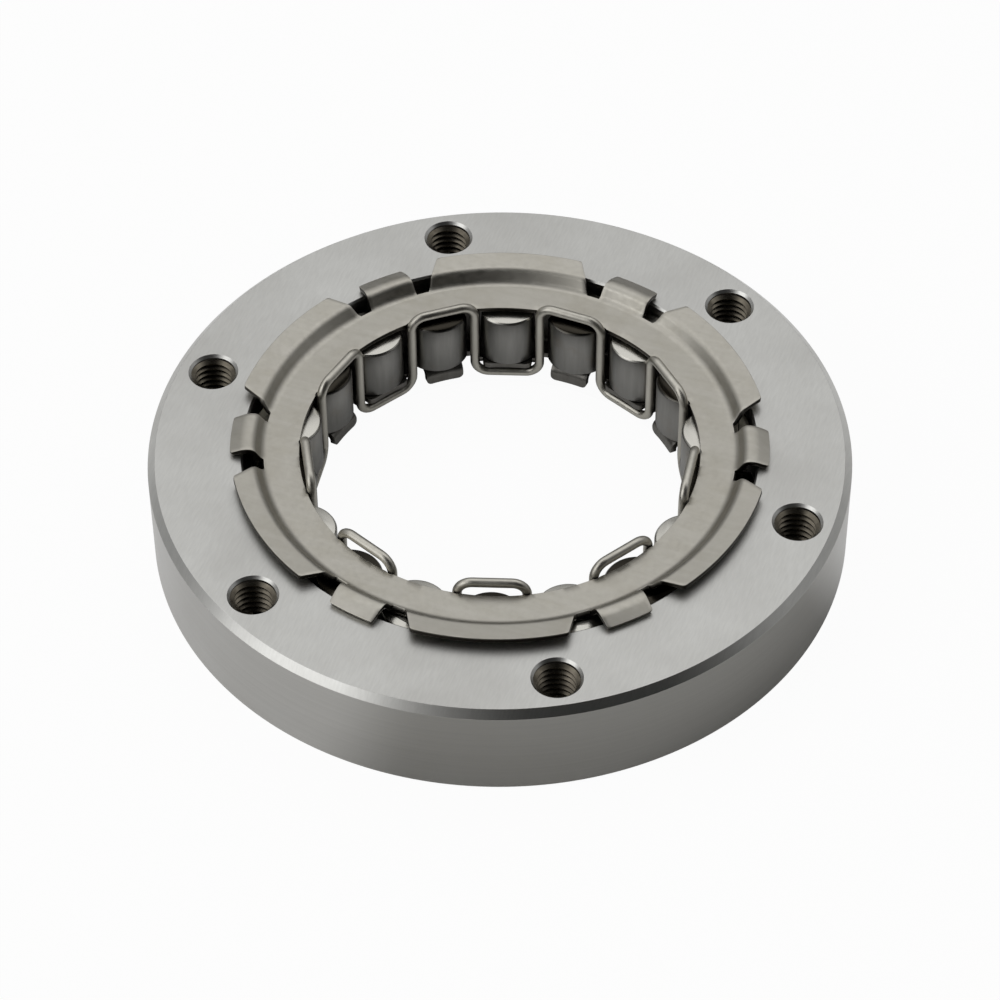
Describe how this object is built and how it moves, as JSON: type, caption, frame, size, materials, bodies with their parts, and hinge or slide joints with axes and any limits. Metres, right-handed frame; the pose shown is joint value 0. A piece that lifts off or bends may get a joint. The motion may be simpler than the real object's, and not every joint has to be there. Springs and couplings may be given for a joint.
{
  "type": "starter clutch",
  "caption": "One-way starter clutch: a bolt-on outer race with a caged ring of sprags and a meander spring in its bore.",
  "frame": {"origin": "centre of the outer race's bottom face, on its axis", "axes": "+Z along the race's axis towards the face that the retaining ring shows on, +X through the middle of one bolt hole"},
  "size_m": [0.096, 0.096, 0.0167],
  "materials": {
    "race_steel": "ground bearing steel, satin",
    "ring_sheet": "pressed steel sheet, barrel finished",
    "cage_sheet": "pressed steel sheet, barrel finished",
    "spring_wire": "drawn spring wire, semi-bright",
    "sprag_steel": "hardened bearing steel, tumbled"
  },
  "bodies": {
    "race": {"outer_race": "race_steel"},
    "insert": {"retaining_ring": "ring_sheet", "sprag_cage": "cage_sheet", "meander_spring": "spring_wire"},
    "sprag_01": {"sprag_01": "sprag_steel"},
    "sprag_02": {"sprag_02": "sprag_steel"},
    "sprag_03": {"sprag_03": "sprag_steel"},
    "sprag_04": {"sprag_04": "sprag_steel"},
    "sprag_05": {"sprag_05": "sprag_steel"},
    "sprag_06": {"sprag_06": "sprag_steel"},
    "sprag_07": {"sprag_07": "sprag_steel"},
    "sprag_08": {"sprag_08": "sprag_steel"},
    "sprag_09": {"sprag_09": "sprag_steel"},
    "sprag_10": {"sprag_10": "sprag_steel"},
    "sprag_11": {"sprag_11": "sprag_steel"},
    "sprag_12": {"sprag_12": "sprag_steel"},
    "sprag_13": {"sprag_13": "sprag_steel"},
    "sprag_14": {"sprag_14": "sprag_steel"},
    "sprag_15": {"sprag_15": "sprag_steel"},
    "sprag_16": {"sprag_16": "sprag_steel"},
    "sprag_17": {"sprag_17": "sprag_steel"},
    "sprag_18": {"sprag_18": "sprag_steel"}
  },
  "joints": [
    {"name": "cage_turn", "type": "hinge", "parent": "race", "child": "insert", "pos_m": [0, 0, 0.0095], "axis": [0, 0, 1], "continuous": true},
    {"name": "sprag_01_rock", "type": "hinge", "parent": "insert", "child": "sprag_01", "pos_m": [0.03047, 0.00545, 0.0095], "axis": [0, 0, 1], "range_deg": [0, 10], "stiffness_Nm_per_rad": 0.002, "springref_deg": -2.86},
    {"name": "sprag_02_rock", "type": "hinge", "parent": "insert", "child": "sprag_02", "pos_m": [0.02676, 0.01554, 0.0095], "axis": [0, 0, 1], "range_deg": [0, 10], "stiffness_Nm_per_rad": 0.002, "springref_deg": -2.86},
    {"name": "sprag_03_rock", "type": "hinge", "parent": "insert", "child": "sprag_03", "pos_m": [0.01983, 0.02376, 0.0095], "axis": [0, 0, 1], "range_deg": [0, 10], "stiffness_Nm_per_rad": 0.002, "springref_deg": -2.86},
    {"name": "sprag_04_rock", "type": "hinge", "parent": "insert", "child": "sprag_04", "pos_m": [0.01051, 0.02911, 0.0095], "axis": [0, 0, 1], "range_deg": [0, 10], "stiffness_Nm_per_rad": 0.002, "springref_deg": -2.86},
    {"name": "sprag_05_rock", "type": "hinge", "parent": "insert", "child": "sprag_05", "pos_m": [-0.00008, 0.03095, 0.0095], "axis": [0, 0, 1], "range_deg": [0, 10], "stiffness_Nm_per_rad": 0.002, "springref_deg": -2.86},
    {"name": "sprag_06_rock", "type": "hinge", "parent": "insert", "child": "sprag_06", "pos_m": [-0.01066, 0.02906, 0.0095], "axis": [0, 0, 1], "range_deg": [0, 10], "stiffness_Nm_per_rad": 0.002, "springref_deg": -2.86},
    {"name": "sprag_07_rock", "type": "hinge", "parent": "insert", "child": "sprag_07", "pos_m": [-0.01996, 0.02366, 0.0095], "axis": [0, 0, 1], "range_deg": [0, 10], "stiffness_Nm_per_rad": 0.002, "springref_deg": -2.86},
    {"name": "sprag_08_rock", "type": "hinge", "parent": "insert", "child": "sprag_08", "pos_m": [-0.02684, 0.01541, 0.0095], "axis": [0, 0, 1], "range_deg": [0, 10], "stiffness_Nm_per_rad": 0.002, "springref_deg": -2.86},
    {"name": "sprag_09_rock", "type": "hinge", "parent": "insert", "child": "sprag_09", "pos_m": [-0.03049, 0.0053, 0.0095], "axis": [0, 0, 1], "range_deg": [0, 10], "stiffness_Nm_per_rad": 0.002, "springref_deg": -2.86},
    {"name": "sprag_10_rock", "type": "hinge", "parent": "insert", "child": "sprag_10", "pos_m": [-0.03047, -0.00545, 0.0095], "axis": [0, 0, 1], "range_deg": [0, 10], "stiffness_Nm_per_rad": 0.002, "springref_deg": -2.86},
    {"name": "sprag_11_rock", "type": "hinge", "parent": "insert", "child": "sprag_11", "pos_m": [-0.02676, -0.01554, 0.0095], "axis": [0, 0, 1], "range_deg": [0, 10], "stiffness_Nm_per_rad": 0.002, "springref_deg": -2.86},
    {"name": "sprag_12_rock", "type": "hinge", "parent": "insert", "child": "sprag_12", "pos_m": [-0.01983, -0.02376, 0.0095], "axis": [0, 0, 1], "range_deg": [0, 10], "stiffness_Nm_per_rad": 0.002, "springref_deg": -2.86},
    {"name": "sprag_13_rock", "type": "hinge", "parent": "insert", "child": "sprag_13", "pos_m": [-0.01051, -0.02911, 0.0095], "axis": [0, 0, 1], "range_deg": [0, 10], "stiffness_Nm_per_rad": 0.002, "springref_deg": -2.86},
    {"name": "sprag_14_rock", "type": "hinge", "parent": "insert", "child": "sprag_14", "pos_m": [0.00008, -0.03095, 0.0095], "axis": [0, 0, 1], "range_deg": [0, 10], "stiffness_Nm_per_rad": 0.002, "springref_deg": -2.86},
    {"name": "sprag_15_rock", "type": "hinge", "parent": "insert", "child": "sprag_15", "pos_m": [0.01066, -0.02906, 0.0095], "axis": [0, 0, 1], "range_deg": [0, 10], "stiffness_Nm_per_rad": 0.002, "springref_deg": -2.86},
    {"name": "sprag_16_rock", "type": "hinge", "parent": "insert", "child": "sprag_16", "pos_m": [0.01996, -0.02366, 0.0095], "axis": [0, 0, 1], "range_deg": [0, 10], "stiffness_Nm_per_rad": 0.002, "springref_deg": -2.86},
    {"name": "sprag_17_rock", "type": "hinge", "parent": "insert", "child": "sprag_17", "pos_m": [0.02684, -0.01541, 0.0095], "axis": [0, 0, 1], "range_deg": [0, 10], "stiffness_Nm_per_rad": 0.002, "springref_deg": -2.86},
    {"name": "sprag_18_rock", "type": "hinge", "parent": "insert", "child": "sprag_18", "pos_m": [0.03049, -0.0053, 0.0095], "axis": [0, 0, 1], "range_deg": [0, 10], "stiffness_Nm_per_rad": 0.002, "springref_deg": -2.86}
  ],
  "couplings": [
    {"joint": "sprag_02_rock", "follows": "sprag_01_rock", "ratio": 1},
    {"joint": "sprag_03_rock", "follows": "sprag_01_rock", "ratio": 1},
    {"joint": "sprag_04_rock", "follows": "sprag_01_rock", "ratio": 1},
    {"joint": "sprag_05_rock", "follows": "sprag_01_rock", "ratio": 1},
    {"joint": "sprag_06_rock", "follows": "sprag_01_rock", "ratio": 1},
    {"joint": "sprag_07_rock", "follows": "sprag_01_rock", "ratio": 1},
    {"joint": "sprag_08_rock", "follows": "sprag_01_rock", "ratio": 1},
    {"joint": "sprag_09_rock", "follows": "sprag_01_rock", "ratio": 1},
    {"joint": "sprag_10_rock", "follows": "sprag_01_rock", "ratio": 1},
    {"joint": "sprag_11_rock", "follows": "sprag_01_rock", "ratio": 1},
    {"joint": "sprag_12_rock", "follows": "sprag_01_rock", "ratio": 1},
    {"joint": "sprag_13_rock", "follows": "sprag_01_rock", "ratio": 1},
    {"joint": "sprag_14_rock", "follows": "sprag_01_rock", "ratio": 1},
    {"joint": "sprag_15_rock", "follows": "sprag_01_rock", "ratio": 1},
    {"joint": "sprag_16_rock", "follows": "sprag_01_rock", "ratio": 1},
    {"joint": "sprag_17_rock", "follows": "sprag_01_rock", "ratio": 1},
    {"joint": "sprag_18_rock", "follows": "sprag_01_rock", "ratio": 1}
  ]
}
